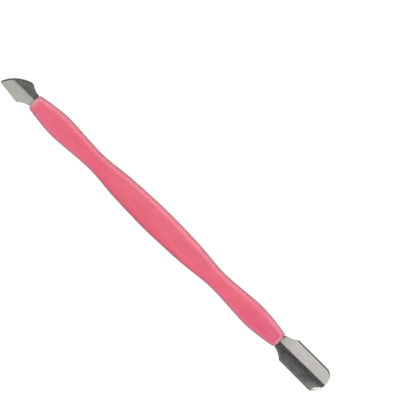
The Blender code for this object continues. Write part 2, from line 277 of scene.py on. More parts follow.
def build_handle():
    body = HALF - END_PROFILE[0][0]
    rim = [(HALF - back, inset) for back, inset in END_PROFILE]
    inner = []
    x = -body + STATION_PITCH
    while x < body - STATION_PITCH / 2:
        inner.append((x, 0.0))
        x += PIP_STATION_PITCH if PIP_BAND[0] < x < PIP_BAND[1] else STATION_PITCH
    stations = [(-x, inset) for x, inset in reversed(rim)] + inner + rim
    draft = bmesh.new()
    rings = []
    for x, inset in stations:
        rings.append([draft.verts.new(handle_point(x, y, z)) for y, z in handle_section(x, inset)])
    skin(draft, rings)
    add_end(draft, -1, rings[0])
    add_end(draft, 1, rings[-1])
    return finish_mesh(draft, "handle_moulding", sharp=40.0)


# --- folded sheet -----------------------------------------------------------------
BEND_INNER = 0.15          # bend radius inside the fold
EDGE_ROUND = 0.07          # rounding of the sheet's cut edges
EDGE_STEPS = 4             # across that rounding
RIM, GRIND = 1, 2          # material slots of a sheared and of a ground edge
BLADE_PITCH, TANG_PITCH = 0.42, 1.6   # of the cuts across blade and tang
FOLD_CUT_PITCH = 0.085     # of the lengthways cuts close to the crease

# the bevel ground on the inside face of the pusher's -Y tip corner
TIP_BEVEL_WIDTH, TIP_BEVEL_DROP = 0.80, 0.58
# share of the bevel's width in from the edge, share of its drop
TIP_BEVEL_PROFILE = (
    (0.2, 0.79), (0.4, 0.58), (0.6, 0.37), (0.76, 0.21), (0.88, 0.10), (0.98, 0.035), (1.10, 0.0),
)
# places along the line where that bevel starts
TIP_BEVEL_LINE = (
    (HALF + 16.95, -4.70), (HALF + 17.12, -3.50), (HALF + 19.46, -1.30), (HALF + 19.60, -0.60),
)
TIP_CORNER_WORN = 0.30     # how far the corner is drawn back towards that line, as a share


class Fold:
    """The section of a folded sheet, tabled by distance from the crease along its outside face.

    The wings rise from the crease if rises is true, and drop from it if not, so
    the outside face is the lower or the upper one.
    """

    STEP = 0.02
    REACH = 5.2
    EASE_END = 4.4         # distance from the crease where the wing has eased fully

    def __init__(self, angle, ease, crease_z, rises):
        angle, ease = math.radians(angle), math.radians(ease)
        self.crease_z, self.sign = crease_z, 1 if rises else -1
        outer = BEND_INNER + SHEET
        bend = outer * angle
        self.y, self.rise, self.tilt = [0.0], [0.0], [0.0]
        for k in range(1, int(self.REACH / self.STEP) + 1):
            distance = k * self.STEP
            if distance < bend:
                tilt = distance / outer
            else:
                tilt = angle - ease * smooth((distance - bend) / (self.EASE_END - bend))
            middle = (tilt + self.tilt[-1]) / 2
            self.y.append(self.y[-1] + self.STEP * math.cos(middle))
            self.rise.append(self.rise[-1] + self.STEP * math.sin(middle))
            self.tilt.append(tilt)

    def look(self, table, distance):
        steps = min(abs(distance) / self.STEP, len(table) - 1.001)
        k = int(steps)
        return table[k] + (table[k + 1] - table[k]) * (steps - k)

    def flat(self, y, depth=0.0):
        """Distance from the crease, on the outside face, of a place y in plan at a depth."""

        def plan_y(k):
            return self.y[k] - depth * math.sin(self.tilt[k])

        low, high = 0, len(self.y) - 1
        while high - low > 1:
            middle = (low + high) // 2
            low, high = (middle, high) if plan_y(middle) <= abs(y) else (low, middle)
        share = (abs(y) - plan_y(low)) / (plan_y(high) - plan_y(low))
        return math.copysign((low + share) * self.STEP, y)

    def place(self, x, distance, depth):
        """The place of a point of the flat sheet; depth is in from the outside face."""
        tilt = self.look(self.tilt, distance)
        y = self.look(self.y, distance) - depth * math.sin(tilt)
        rise = self.look(self.rise, distance) + depth * math.cos(tilt)
        return x, math.copysign(y, distance), self.crease_z + self.sign * rise


# angle: the wings' slope at the crease in degrees; ease: how much less it is further out
PUSHER_FOLD = Fold(angle=29.5, ease=3.5, crease_z=1.60, rises=True)
KNIFE_FOLD = Fold(angle=24.7, ease=1.5, crease_z=3.45, rises=False)


def inset_loop(points, amounts):
    """A closed loop of flat points, each moved in by its own amount, mitred."""
    found = []
    count = len(points)
    for k in range(count):
        before, here, after = (Vector(points[(k + j) % count]) for j in (-1, 0, 1))
        coming, going = here - before, after - here
        if coming.length < 1e-7 or going.length < 1e-7:
            found.append(tuple(here))
            continue
        coming, going = coming.normalized(), going.normalized()
        left_before = Vector((-coming.y, coming.x))
        left_after = Vector((-going.y, going.x))
        share = max(0.35, 1 + left_before.dot(left_after))
        found.append(tuple(here + (left_before + left_after) * (amounts[k] / share)))
    return found


def kept_points(points, closeness=0.012):
    """Which points of a closed loop stay when those too close to the one before are left out."""
    return [
        k for k in range(len(points))
        if (Vector(points[k]) - Vector(points[k - 1])).length > closeness
    ]


def build_blade(name, fold, outside, inside, lines_x, lines_y, ground, thinned=None):
    """A folded blade.

    outside and inside are the outlines of its two faces on the flat sheet, which
    is cut at lines_x and lines_y.  ground tells how far each outline point
    belongs to the ground edge, thinned how far it takes part in the tip's bevel.
    """
    rounding = []
    for k in range(EDGE_STEPS + 1):
        turn = math.pi / 2 * k / EDGE_STEPS
        rounding.append((EDGE_ROUND * (1 - math.sin(turn)), EDGE_ROUND * (1 - math.cos(turn))))
    levels = rounding + [(0.0, SHEET * 0.35), (0.0, SHEET * 0.65)]
    levels += [(inset, SHEET - depth) for inset, depth in reversed(rounding)]
    # inset, inset where fully thinned, depth, share of the bevel's drop
    rows = [(inset, 0.0, depth, 1.0) for inset, depth in levels]
    if thinned:
        for k, (share, drop) in enumerate(TIP_BEVEL_PROFILE):
            rows.append((EDGE_ROUND + 0.012 * (k + 1), share * TIP_BEVEL_WIDTH, SHEET, drop))
    else:
        thinned = [0.0] * len(outside)
    draft = bmesh.new()
    rings = []
    for inset, wide, depth, drop in rows:
        mixed = [tuple(Vector(o).lerp(Vector(i), depth / SHEET)) for o, i in zip(outside, inside)]
        amounts = [inset + wide * share for share in thinned]
        ring = []
        for (x, y), share in zip(inset_loop(mixed, amounts), thinned):
            z = depth * (1 - share * drop * TIP_BEVEL_DROP * depth / SHEET)
            ring.append(draft.verts.new((x, y, z)))
        rings.append(ring)
    bands = skin(draft, rings)
    for band in bands[EDGE_STEPS - 1:len(levels) - EDGE_STEPS]:
        for k, face in enumerate(band):
            n = (k + 1) % len(band)
            polished = thinned[k] > 0.15 and thinned[n] > 0.15
            if ground[k] > 0.5 and ground[n] > 0.5:
                face.material_index = GRIND
            elif not polished:
                face.material_index = RIM
    close_ends(draft, rings)
    for axis, lines in ((0, lines_x), (1, lines_y)):
        for line in lines:
            origin, normal = [0.0, 0.0, 0.0], [0.0, 0.0, 0.0]
            origin[axis], normal[axis] = line, 1.0
            geom = draft.verts[:] + draft.edges[:] + draft.faces[:]
            bmesh.ops.bisect_plane(draft, geom=geom, dist=2e-4, plane_co=origin, plane_no=normal)
    for vert in draft.verts:
        vert.co = Vector(fold.place(*vert.co)) * MM
    obj = finish_mesh(draft, name, sharp=38.0)
    weighted = obj.modifiers.new("weighted_normals", "WEIGHTED_NORMAL")
    weighted.keep_sharp = True
    return obj


def spread(low, high, pitch):
    count = max(1, round((high - low) / pitch))
    return [low + (high - low) * k / count for k in range(count + 1)]


def fold_lines(reach):
    """Where the sheet is cut lengthways, closest at the crease."""
    near = [side * FOLD_CUT_PITCH * k for k in range(1, 9) for side in (-1, 1)]
    far = [side * y for y in spread(0.9, reach, BLADE_PITCH) for side in (-1, 1)]
    return sorted(near + far + [0.0])


# --- plan outlines, counter-clockwise from above ----------------------------------
def bowed(start, end, bow, steps):
    """Points between start and end on an arc; a positive bow rises to the left of the way."""
    way = Vector(end) - Vector(start)
    chord = way.length
    way.normalize()
    left = Vector((-way.y, way.x))
    radius = (chord * chord / 4 + bow * bow) / (2 * abs(bow))
    found = []
    for k in range(1, steps):
        along = chord * k / steps
        rise = math.sqrt(radius**2 - (along - chord / 2) ** 2) - (radius - abs(bow))
        found.append(tuple(Vector(start) + way * along + left * math.copysign(rise, bow)))
    return found


def rounded(before, corner, after, radius, steps=8):
    """The arc that rounds a corner between two neighbouring places."""
    corner = Vector(corner)
    back = (Vector(before) - corner).normalized()
    ahead = (Vector(after) - corner).normalized()
    half = back.angle(ahead) / 2
    centre = corner + (back + ahead).normalized() * (radius / math.sin(half))
    start = back * (radius / math.tan(half)) + corner - centre
    end = ahead * (radius / math.tan(half)) + corner - centre
    first = math.atan2(start.y, start.x)
    sweep = (math.atan2(end.y, end.x) - first + math.pi) % math.tau - math.pi
    found = []
    for k in range(steps + 1):
        turn = first + sweep * k / steps
        found.append((centre.x + radius * math.cos(turn), centre.y + radius * math.sin(turn)))
    return found


def straight(start, end, pitch=0.8):
    """Points between start and end, both left out."""
    length = (Vector(end) - Vector(start)).length
    count = max(1, round(length / pitch))
    return [tuple(Vector(start).lerp(Vector(end), k / count)) for k in range(1, count)]


def tang_outline(side):
    root, inner = side * (HALF + HEAD_GAP), side * (HALF - TANG_LENGTH)
    half = TANG_WIDTH / 2
    lead = (inner + side * TANG_LEAD, half)
    one_side = [(root, half)] + straight((root, half), lead, 1.5)
    one_side += [lead, (inner, half - TANG_LEAD_STEP)]
    around = one_side + [(x, -y) for x, y in reversed(one_side)]
    return around if side > 0 else [(x, -y) for x, y in around]


# --- pusher head ------------------------------------------------------------------
# x is measured out from the handle's end; a shoulder is a place in plan
PUSHER_SHOULDER, PUSHER_SHOULDER_DROP, PUSHER_SHOULDER_RADIUS = (1.50, 2.68), 0.30, 0.65
PUSHER_FLARE_BOW, PUSHER_FLARE_RADIUS = 0.16, 0.60
PUSHER_FLARE_END, PUSHER_WIDTH = 4.35, 8.50              # on the +Y side
PUSHER_MINUS_FLARE_END, PUSHER_MINUS_WIDTH = 4.10, 8.74  # on the -Y side
PUSHER_TIP_WIDTH, PUSHER_TIP_FROM, PUSHER_REACH = 8.68, 16.05, 19.55
PUSHER_TIP_POWER = 2.35    # 2 is an ellipse, more is squarer
PUSHER_TIP_STEPS = 44
PUSHER_SKEW = math.radians(-1.0)


def pusher_side(flare_end, flare_y):
    """Half the blade's outline, from the middle of the tip by +Y to the root."""
    power, tip_y = 2 / PUSHER_TIP_POWER, PUSHER_TIP_WIDTH / 2
    side = []
    for k in range(PUSHER_TIP_STEPS + 1):
        turn = math.pi / 2 * k / PUSHER_TIP_STEPS
        out = math.cos(turn) ** power if k < PUSHER_TIP_STEPS else 0.0
        x = HALF + PUSHER_TIP_FROM + (PUSHER_REACH - PUSHER_TIP_FROM) * out
        side.append((x, tip_y * math.sin(turn) ** power))
    last, flare = side[-1], (HALF + flare_end, flare_y)
    shoulder = (HALF + PUSHER_SHOULDER[0], PUSHER_SHOULDER[1])
    corner = rounded(last, flare, shoulder, PUSHER_FLARE_RADIUS)
    side += straight(last, corner[0]) + corner
    side += bowed(corner[-1], shoulder, PUSHER_FLARE_BOW, 10)
    side.append(shoulder)
    root_x = HALF + HEAD_GAP
    neck = (root_x, PUSHER_SHOULDER[1] - PUSHER_SHOULDER_DROP)
    return side + rounded(shoulder, neck, (root_x, 0.0), PUSHER_SHOULDER_RADIUS)


def pusher_outline():
    def skewed(points):
        lean = math.tan(PUSHER_SKEW)
        return [(x, y + lean * max(0.0, x - HALF - PUSHER_FLARE_END)) for x, y in points]

    plus = pusher_side(PUSHER_FLARE_END, PUSHER_WIDTH / 2)
    minus = pusher_side(PUSHER_MINUS_FLARE_END, PUSHER_MINUS_WIDTH / 2)
    return skewed(plus) + tang_outline(1) + skewed([(x, -y) for x, y in reversed(minus[1:])])


def beyond_bevel_line(point):
    """How far a point lies outside the tip bevel's line, and the step back to it."""
    line = TIP_BEVEL_LINE
    best = None
    for start, end in zip(line, line[1:]):
        start, end, here = Vector(start), Vector(end), Vector(point)
        along = end - start
        share = max(0.0, min(1.0, (here - start).dot(along) / along.length_squared))
        step = start + along * share - here
        side = along.x * (here.y - start.y) - along.y * (here.x - start.x)
        if best is None or step.length < best[0]:
            best = (step.length, step, side)
    if best[2] >= 0.0 or point[0] <= line[0][0] or point[1] >= line[-1][1]:
        return 0.0, Vector((0.0, 0.0))
    return best[0], best[1]


def build_pusher():
    fold = PUSHER_FOLD
    outline = pusher_outline()
    outline = [outline[k] for k in kept_points(outline)]
    # the tip is ground down on its -Y corner
    steps = [beyond_bevel_line(point)[1] * TIP_CORNER_WORN for point in outline]
    outline = [(x + step.x, y + step.y) for (x, y), step in zip(outline, steps)]
    thinned = [
        max(0.0, beyond_bevel_line(point)[0] - 0.15) / TIP_BEVEL_WIDTH for point in outline
    ]
    flat = [(x, fold.flat(y)) for x, y in outline]
    # the edge of the +Y flare stands upright, the others square to the sheet
    inside = []
    for x, y in outline:
        upright = smooth((x - HALF - 0.2) / 0.4) * smooth((HALF + 4.6 - x) / 0.8) if y > 1.5 else 0.0
        inside.append((x, fold.flat(y) + (fold.flat(y, SHEET) - fold.flat(y)) * upright))
    lines_x = spread(HALF - 11.5, HALF + 0.3, TANG_PITCH)
    lines_x += spread(HALF + 0.7, HALF + PUSHER_REACH - 0.2, BLADE_PITCH)
    return build_blade(
        "pusher_blade", fold, flat, inside, lines_x, fold_lines(4.9),
        ground=[0.0] * len(flat), thinned=thinned,
    )


# --- knife head -------------------------------------------------------------------
# places in plan, x measured out from the handle's end; plus and minus are the +Y and -Y sides
KNIFE_SHOULDER_PLUS, KNIFE_SHOULDER_MINUS = (4.26, 3.82), (4.15, -3.97)
KNIFE_NECK_PLUS, KNIFE_NECK_MINUS, KNIFE_NECK_RADIUS = (1.15, 2.36), (0.50, -2.00), 0.60
KNIFE_FLARE_PLUS_BOW, KNIFE_FLARE_MINUS_BOW = 0.22, 0.30
KNIFE_POINT, KNIFE_BACK = (11.92, -2.42), (11.62, -3.02)
KNIFE_EDGE_BOW, KNIFE_POINT_BOW = 1.12, 0.14
KNIFE_GRIND = 0.58         # how far the ground edge's upper rim is set in


def knife_outline():
    """The knife's plan outline, and for each point the share of the ground edge it carries."""
    shoulder_plus, shoulder_minus, neck_plus, neck_minus, point, back = (
        (-HALF - out, y) for out, y in (
            KNIFE_SHOULDER_PLUS, KNIFE_SHOULDER_MINUS, KNIFE_NECK_PLUS, KNIFE_NECK_MINUS,
            KNIFE_POINT, KNIFE_BACK,
        )
    )
    root_x = -HALF - HEAD_GAP
    edge = [shoulder_plus] + bowed(shoulder_plus, point, -KNIFE_EDGE_BOW, 44)
    edge += [point] + bowed(point, back, -KNIFE_POINT_BOW, 6)
    shares = [smooth(min(1.0, (k + 0.8) / 3, (len(edge) - k) / 7)) for k in range(len(edge))]
    square = [back] + straight(back, shoulder_minus) + [shoulder_minus]
    square += bowed(shoulder_minus, neck_minus, KNIFE_FLARE_MINUS_BOW, 10)
    square += [neck_minus, (root_x, neck_minus[1] + 0.25)]
    square += tang_outline(-1)
    square += rounded((root_x, 0.0), (root_x, neck_plus[1] - 0.06), neck_plus, KNIFE_NECK_RADIUS)
    square += [neck_plus]
    square += bowed(neck_plus, shoulder_plus, KNIFE_FLARE_PLUS_BOW, 10)
    return edge + square, shares + [0.0] * len(square)


def inset_by_share(outline, shares):
    """The outline with the ground edge's points moved in."""
    found = []
    for k, (point, share) in enumerate(zip(outline, shares)):
        if share == 0:
            found.append(point)
            continue
        before, after = Vector(outline[k - 1]), Vector(outline[(k + 1) % len(outline)])
        way = (after - before).normalized()
        found.append(tuple(Vector(point) + Vector((-way.y, way.x)) * KNIFE_GRIND * share))
    return found


def build_knife():
    fold = KNIFE_FOLD
    outline, shares = knife_outline()
    kept = kept_points(outline)
    outline, shares = [outline[k] for k in kept], [shares[k] for k in kept]
    outside, inside = [], []
    for (x, y), upper, share in zip(outline, inset_by_share(outline, shares), shares):
        outside.append((upper[0], fold.flat(upper[1])))
        # the ground edge's lower rim comes out to the outline; a square edge keeps its flat place
        lower = Vector((x, fold.flat(y, SHEET)))
        inside.append(tuple(Vector((x, fold.flat(y))).lerp(lower, share)))
    lines_x = spread(-HALF - 11.6, -HALF - 0.7, BLADE_PITCH)
    lines_x += spread(-HALF - 0.3, -HALF + 11.5, TANG_PITCH)
    return build_blade(
        "knife_blade", fold, outside, inside, lines_x, fold_lines(4.6), ground=shares
    )


# --- adhesive ---------------------------------------------------------------------
GLUE_DEPTH = 12.8
GLUE_POINTS = 72           # round the plug
TANG_STEPS = 12            # across half the tang
BEAD_POINTS, BEAD_STEPS = 12, 46   # round and along each bead
# over the sheet or under it, reach towards +Y and towards -Y, thickness
BEADS = ((True, 2.02, 1.86, 0.17), (False, 1.95, 1.85, 0.15))


def ray_to_polygon(polygon, centre, angle):
    """Distance from a centre to the edge of a polygon round it, along an angle."""
    way = heading(angle)
    best = 0.0
    for start, end in zip(polygon, polygon[1:] + polygon[:1]):
        start, end = Vector(start) - centre, Vector(end) - centre
        edge = end - start
        cross = way.x * edge.y - way.y * edge.x
        if abs(cross) < 1e-12:
            continue
        far = (start.x * edge.y - start.y * edge.x) / cross
        share = (start.x * way.y - start.y * way.x) / cross
        if far > 0 and -1e-6 <= share <= 1 + 1e-6:
            best = max(best, far)
    return best


def tang_section(fold):
    """The tang's section as a polygon of (y, z), and a centre inside it."""
    outer, inner = [], []
    for k in range(-TANG_STEPS, TANG_STEPS + 1):
        distance = fold.flat(TANG_WIDTH / 2 * k / TANG_STEPS)
        outer.append(fold.place(0.0, distance, 0.0)[1:])
        inner.append(fold.place(0.0, distance, SHEET)[1:])
    bottom, top = (outer, inner) if fold.sign > 0 else (inner, outer)
    middle = (bottom[TANG_STEPS][1] + top[TANG_STEPS][1]) / 2
    return bottom + top[::-1], Vector((0.0, middle + 0.12 * fold.sign))


def build_adhesive(name, side, fold, blobs):
    """The cured adhesive: a plug in the socket and the bead pressed out round the tang.

    blobs are (angle, angular width, size) of the bulges in the bead's edge.
    """
    polygon, centre = tang_section(fold)
    angles = [math.tau * k / GLUE_POINTS for k in range(GLUE_POINTS)]
    socket_centre = Vector((0.0, MIDDLE_Z))

    def from_socket(grow):
        return [socket_centre + heading(angle) * socket_reach(angle, grow) for angle in angles]

    def from_tang(grow):
        return [
            centre + heading(angle) * (ray_to_polygon(polygon, centre, angle) + grow)
            for angle in angles
        ]

    def pressed_out(share):
        """The bead's irregular edge on the end face."""
        found = []
        for angle in angles:
            seed = Vector((math.cos(angle) * 1.7, math.sin(angle) * 1.7, 4.0 * side))
            reach = socket_reach(angle)
            reach += 0.10 + 0.10 * noise.noise(seed)
            for blob_angle, width, size in blobs:
                apart = (angle - blob_angle + math.pi) % math.tau - math.pi
                reach += size * math.exp(-((apart / width) ** 2))
            found.append(socket_centre + heading(angle) * reach * share)
        return found

    # from the bottom of the socket out over the end face, then back in along the tang
    loops = [
        (HALF - GLUE_DEPTH, from_socket(-0.25)),
        (HALF - GLUE_DEPTH + 0.15, from_socket(-0.05)),
        (HALF - 6.0, from_socket(-0.035)),
        (HALF - 0.14, from_socket(-0.03)),
        (HALF - 0.04, from_socket(0.02)),
        (HALF + 0.004, from_socket(0.10)),
        (HALF + 0.006, pressed_out(0.98)),
        (HALF + 0.035, pressed_out(1.02)),
        (HALF + 0.075, pressed_out(1.025)),
        (HALF + 0.115, pressed_out(0.99)),
        (HALF + 0.135, pressed_out(0.93)),
        (HALF + 0.138, from_tang(0.12)),
        (HALF + 0.12, from_tang(0.03)),
        (HALF - 0.5, from_tang(0.03)),
        (HALF - TANG_LENGTH + TANG_LEAD, from_tang(0.03)),
        (HALF - TANG_LENGTH - 0.1, from_tang(0.03)),
    ]
    draft = bmesh.new()
    rings = [
        [draft.verts.new(Vector((side * x, p.x, p.y)) * MM) for p in points] for x, points in loops
    ]
    skin(draft, rings)
    close_ends(draft, rings)
    for bead in BEADS:
        add_bead(draft, side, fold, *bead)
    return finish_mesh(draft, name, sharp=50.0)


def add_bead(draft, side, fold, over, reach_plus, reach_minus, thick):
    """A roll of adhesive in the corner between the handle's end and one face of the neck."""
    depth = SHEET if over == (fold.sign > 0) else 0.0
    rings = []
    for k in range(BEAD_STEPS + 1):
        share = k / BEAD_STEPS
        y = -reach_minus + (reach_plus + reach_minus) * share
        z = fold.place(0.0, fold.flat(y, depth), depth)[2]
        wobble = noise.noise(Vector((y * 0.9, 3.0 * side + (2.0 if over else 0.0), 1.0)))
        wobble += 0.5 * noise.noise(Vector((y * 2.6, 5.0 * side, 8.0)))
        ends = min(1.0, 6 * share + 0.25, 6 * (1 - share) + 0.25)
        size = thick * (1 + 0.45 * wobble) * ends
        if over:           # a lump near the +Y end
            size += 0.17 * math.exp(-(((y - 1.75) / 0.38) ** 2))
        ring = []
        for j in range(BEAD_POINTS):
            turn = math.tau * j / BEAD_POINTS
            x = side * (HALF + 0.02 + size * (1 + math.cos(turn)) * 0.95)
            ring.append(draft.verts.new(Vector((x, y, z + size * 0.72 * math.sin(turn))) * MM))
        rings.append(ring)
    skin(draft, rings)
    close_ends(draft, rings)


# --- shader graphs ----------------------------------------------------------------
class Graph:
    """Short ways to lay out shader nodes."""

    def __init__(self, tree):
        self.tree = tree
        tree.nodes.clear()

    def add(self, kind, **settings):
        node = self.tree.nodes.new("ShaderNode" + kind)
        for key, value in settings.items():
            setattr(node, key, value)
        return node

    def feed(self, node, inputs):
        """Link or set a node's inputs, given by name or number."""
        for key, value in inputs.items():
            if isinstance(value, bpy.types.NodeSocket):
                self.tree.links.new(value, node.inputs[key])
            else:
                node.inputs[key].default_value = value

    def math(self, operation, *values):
        node = self.add("Math", operation=operation)
        self.feed(node, dict(enumerate(values)))
        return node.outputs[0]

    def times(self, value, by):
        return self.math("MULTIPLY", value, by)

    def plus(self, value, other):
        return self.math("ADD", value, other)

    def absolute(self, value):
        return self.math("ABSOLUTE", value)

    def vector(self, operation, *values, scale=None):
        node = self.add("VectorMath", operation=operation)
        self.feed(node, dict(enumerate(values)))
        if scale is not None:
            self.feed(node, {"Scale": scale})
        return node.outputs["Value" if operation in ("DOT_PRODUCT", "LENGTH") else "Vector"]

    def split(self, vector):
        node = self.add("SeparateXYZ")
        self.feed(node, {0: vector})
        return tuple(node.outputs)

    def noise(self, vector, scale, detail=2.0, roughness=0.5, distortion=0.0):
        node = self.add("TexNoise")
        self.feed(node, {
            "Vector": vector, "Scale": scale, "Detail": detail,
            "Roughness": roughness, "Distortion": distortion,
        })
        return node.outputs[0]

    def grain(self, place, stretch, turn=0.0, **settings):
        """Noise that runs one way: the place turned about Z, then scaled by axis."""
        node = self.add("Mapping", vector_type="POINT")
        self.feed(node, {"Vector": place, "Rotation": (0.0, 0.0, turn), "Scale": stretch})
        return self.noise(node.outputs[0], scale=1.0, **settings)

    def fit(self, value, over, to=(0.0, 1.0), kind="LINEAR"):
        """The range over mapped to another and clamped."""
        node = self.add("MapRange", interpolation_type=kind, clamp=True)
        self.feed(node, dict(enumerate((value, *over, *to))))
        return node.outputs[0]

    def fade(self, value, over, to=(0.0, 1.0)):
        return self.fit(value, over, to, kind="SMOOTHSTEP")

    def mix(self, share, low, high):
        node = self.add("Mix", data_type="RGBA")
        self.feed(node, {0: share, 6: low, 7: high})
        return node.outputs[2]

    def tint(self, body, share, colour):
        return self.mix(share, body, colour)

    def bump(self, height, distance, normal=None):
        """A bump whose distance is in metres."""
        node = self.add("Bump")
        self.feed(node, {"Strength": 1.0, "Distance": distance, "Height": height})
        if normal is not None:
            self.feed(node, {"Normal": normal})
        return node.outputs["Normal"]


def rgb(*levels):
    """A linear colour from display values of 0 to 255."""

    def linear(level):
        level /= 255.0
        return level / 12.92 if level <= 0.04045 else ((level + 0.055) / 1.055) ** 2.4

    return (*map(linear, levels), 1.0)


def start_material(name):
    """The material, its graph and shader, and the place in millimetres, whole and by axis."""
    made = bpy.data.materials.new(name)
    made.use_nodes = True
    graph = Graph(made.node_tree)
    shader = graph.add("BsdfPrincipled")
    graph.feed(graph.add("OutputMaterial"), {"Surface": shader.outputs["BSDF"]})
    place = graph.vector("SCALE", graph.add("TexCoord").outputs["Object"], scale=1 / MM)
    return made, graph, shader, place, graph.split(place)


# --- plastic ----------------------------------------------------------------------
def plastic_body(graph, place, x):
    """The moulded pink, drifting towards both ends, with mottling and pale flecks, and a painted
    highlight paler at the knife end.
    """
    flow = graph.grain(place, stretch=(0.05, 0.16, 0.16), detail=3.0, roughness=0.55, distortion=0.6)
    body = graph.mix(graph.fade(flow, over=(0.34, 0.66)), rgb(212, 81, 106), rgb(220, 91, 115))
    to_pusher = graph.fade(x, over=(30.0, 50.0))
    body = graph.tint(body, graph.times(to_pusher, by=0.60), colour=rgb(206, 78, 113))
    to_ends = graph.fade(graph.absolute(x), over=(44.0, 51.5))
    body = graph.tint(body, graph.times(to_ends, by=0.35), colour=rgb(206, 84, 116))
    to_knife = graph.fade(x, over=(-28.0, -49.0), to=(0.0, 0.45))
    body = graph.tint(body, to_knife, colour=rgb(214, 94, 116))
    # a painted highlight: the plastic paler towards the knife end's rim
    knife_end_highlight = graph.fade(x, over=(-49.8, -51.6), to=(0.0, 0.78))
    body = graph.tint(body, knife_end_highlight, colour=rgb(222, 132, 146))
    mottle = graph.noise(place, scale=1.3, detail=4.0, roughness=0.6)
    mottled = graph.fit(mottle, over=(0.35, 0.65), to=(0.0, 0.14))
    body = graph.tint(body, mottled, colour=rgb(212, 80, 104))
    fleck = graph.noise(place, scale=7.0, detail=1.0)
    flecked = graph.fit(fleck, over=(0.70, 0.80), to=(0.0, 0.15))
    return graph.tint(body, flecked, colour=rgb(246, 150, 165))


def plastic_pips(graph, body, x, y, z):
    """A darker ring round each pip's foot, painted shade, and a paler top, a painted highlight."""
    plan = graph.add("CombineXYZ")
    graph.feed(plan, {0: x, 1: y})
    on_top = graph.fit(z, over=(3.6, 4.2))
    for k, (pip_x, pip_y) in enumerate(PIPS):
        offset = graph.vector("SUBTRACT", plan.outputs[0], (pip_x, pip_y, 0.0))
        away = graph.vector("LENGTH", offset)
        # painted shade: a darker ring round each pip's foot
        ring = graph.fade(away, over=(PIP_RADIUS, PIP_RADIUS * 1.7), to=(0.62, 0.0))
        body = graph.tint(body, graph.times(ring, on_top), colour=rgb(200, 62, 98))
        strength = 0.62 if k % 2 else 0.45     # the +Y row is the paler one
        # painted highlight: a paler top on each pip
        spot_share = graph.fade(away, over=(PIP_RADIUS * 0.45, PIP_RADIUS * 0.95), to=(strength, 0.0))
        body = graph.tint(body, graph.times(spot_share, on_top), colour=rgb(248, 150, 170))
    return body


def plastic_painted_light(graph, body, place, x):
    """Painted light on the handle: a painted highlight, paler and greyer, on the eased rims of the
    very ends; a painted cool reflection on the sloping -Y sides and a painted highlight on the
    sloping +Y sides; and where seen at a slant, painted reflection and shade, darker and greyer
    towards -Y and paler towards +Y.
    """
    uneven = graph.absolute(x)
    uneven = graph.plus(uneven, graph.times(graph.noise(place, scale=1.4), by=0.3))
    normal = graph.add("NewGeometry").outputs["Normal"]
    normal_x, normal_y, normal_z = graph.split(normal)
    end_face = graph.fit(graph.absolute(normal_x), over=(0.80, 0.97), to=(1.0, 0.25))
    # painted highlight: the eased rims of the very ends paler and greyer
    end_highlight = graph.times(graph.fade(uneven, over=(51.10, 51.85), to=(0.0, 0.80)), end_face)

    off_middle = graph.fit(graph.absolute(x), over=(14.0, 34.0))
    # painted reflection: the sloping -Y side cooler and bluer, away from the middle
    minus_side_reflection = graph.times(graph.fit(normal_y, over=(-0.12, -0.60), to=(0.0, 0.48)), off_middle)
    rising = graph.fit(normal_z, over=(0.10, 0.40))
    minus_side_reflection = graph.times(minus_side_reflection, rising)
    body = graph.tint(body, minus_side_reflection, colour=rgb(222, 108, 146))
    # painted highlight: the sloping +Y side paler near the ends
    near_end = graph.times(graph.fit(graph.absolute(x), over=(40.0, 49.0)), rising)
    plus_side_highlight = graph.times(graph.fit(normal_y, over=(0.12, 0.55), to=(0.0, 0.50)), near_end)
    body = graph.tint(body, plus_side_highlight, colour=rgb(226, 134, 162))

    pale = graph.mix(graph.fit(x, over=(-1.0, 1.0)), rgb(212, 144, 156), rgb(182, 134, 147))
    body = graph.tint(body, end_highlight, colour=pale)

    # painted reflection and shade where seen at a slant: darker and greyer towards -Y, paler towards
    # +Y
    slant = graph.add("LayerWeight")
    graph.feed(slant, {"Blend": 0.5})
    minus_slant_shade = graph.mix(off_middle, rgb(176, 100, 114), rgb(194, 126, 148))
    slant_light_and_shade = graph.mix(graph.fit(normal_y, over=(-0.3, 0.3)), minus_slant_shade, rgb(228, 150, 160))
    lying = graph.math("SUBTRACT", 1.0, graph.absolute(normal_z))
    slanted = graph.math("MINIMUM", slant.outputs["Facing"], lying)
    return graph.tint(body, graph.fit(slanted, over=(0.08, 0.55), to=(0.0, 0.75)), colour=slant_light_and_shade)


def plastic_material():
    made, graph, shader, place, (x, y, z) = start_material("moulded_pink_plastic")
    body = plastic_body(graph, place, x)
    body = plastic_pips(graph, body, x, y, z)
    body = plastic_painted_light(graph, body, place, x)

    smudge = graph.noise(place, scale=0.35, detail=3.0, roughness=0.6, distortion=0.4)
    rough = graph.fit(smudge, over=(0.3, 0.7), to=(0.33, 0.42))
    scratch_a = graph.grain(place, stretch=(0.35, 9.0, 9.0), turn=0.06, roughness=0.6)
    scratch_b = graph.grain(place, stretch=(0.30, 8.0, 8.0), turn=-0.22, roughness=0.6)
    scratch_a = graph.fit(scratch_a, over=(0.62, 0.72))
    lines = graph.plus(scratch_a, graph.fit(scratch_b, over=(0.64, 0.74)))
    rough = graph.plus(rough, graph.times(lines, by=0.05))

    peel = graph.noise(place, scale=1.1)
    fine = graph.noise(place, scale=11.0, roughness=0.6)
    normal = graph.bump(peel, distance=0.0000025)
    normal = graph.bump(fine, distance=0.0000004, normal=normal)
    normal = graph.bump(lines, distance=-0.0000006, normal=normal)
    # glossiest at the middle
    gloss = graph.fit(graph.absolute(x), over=(14.0, 34.0), to=(0.5, 0.36))
    graph.feed(shader, {
        "Base Color": body,
        "Roughness": rough,
        "Normal": normal,
        "IOR": 1.5,
        "Specular IOR Level": gloss,
        "Sheen Weight": 0.10,
        "Sheen Roughness": 0.35,
        "Subsurface Weight": 0.12,
        "Subsurface Radius": (1.0, 0.35, 0.35),
        "Subsurface Scale": 0.0008,
    })
    return made


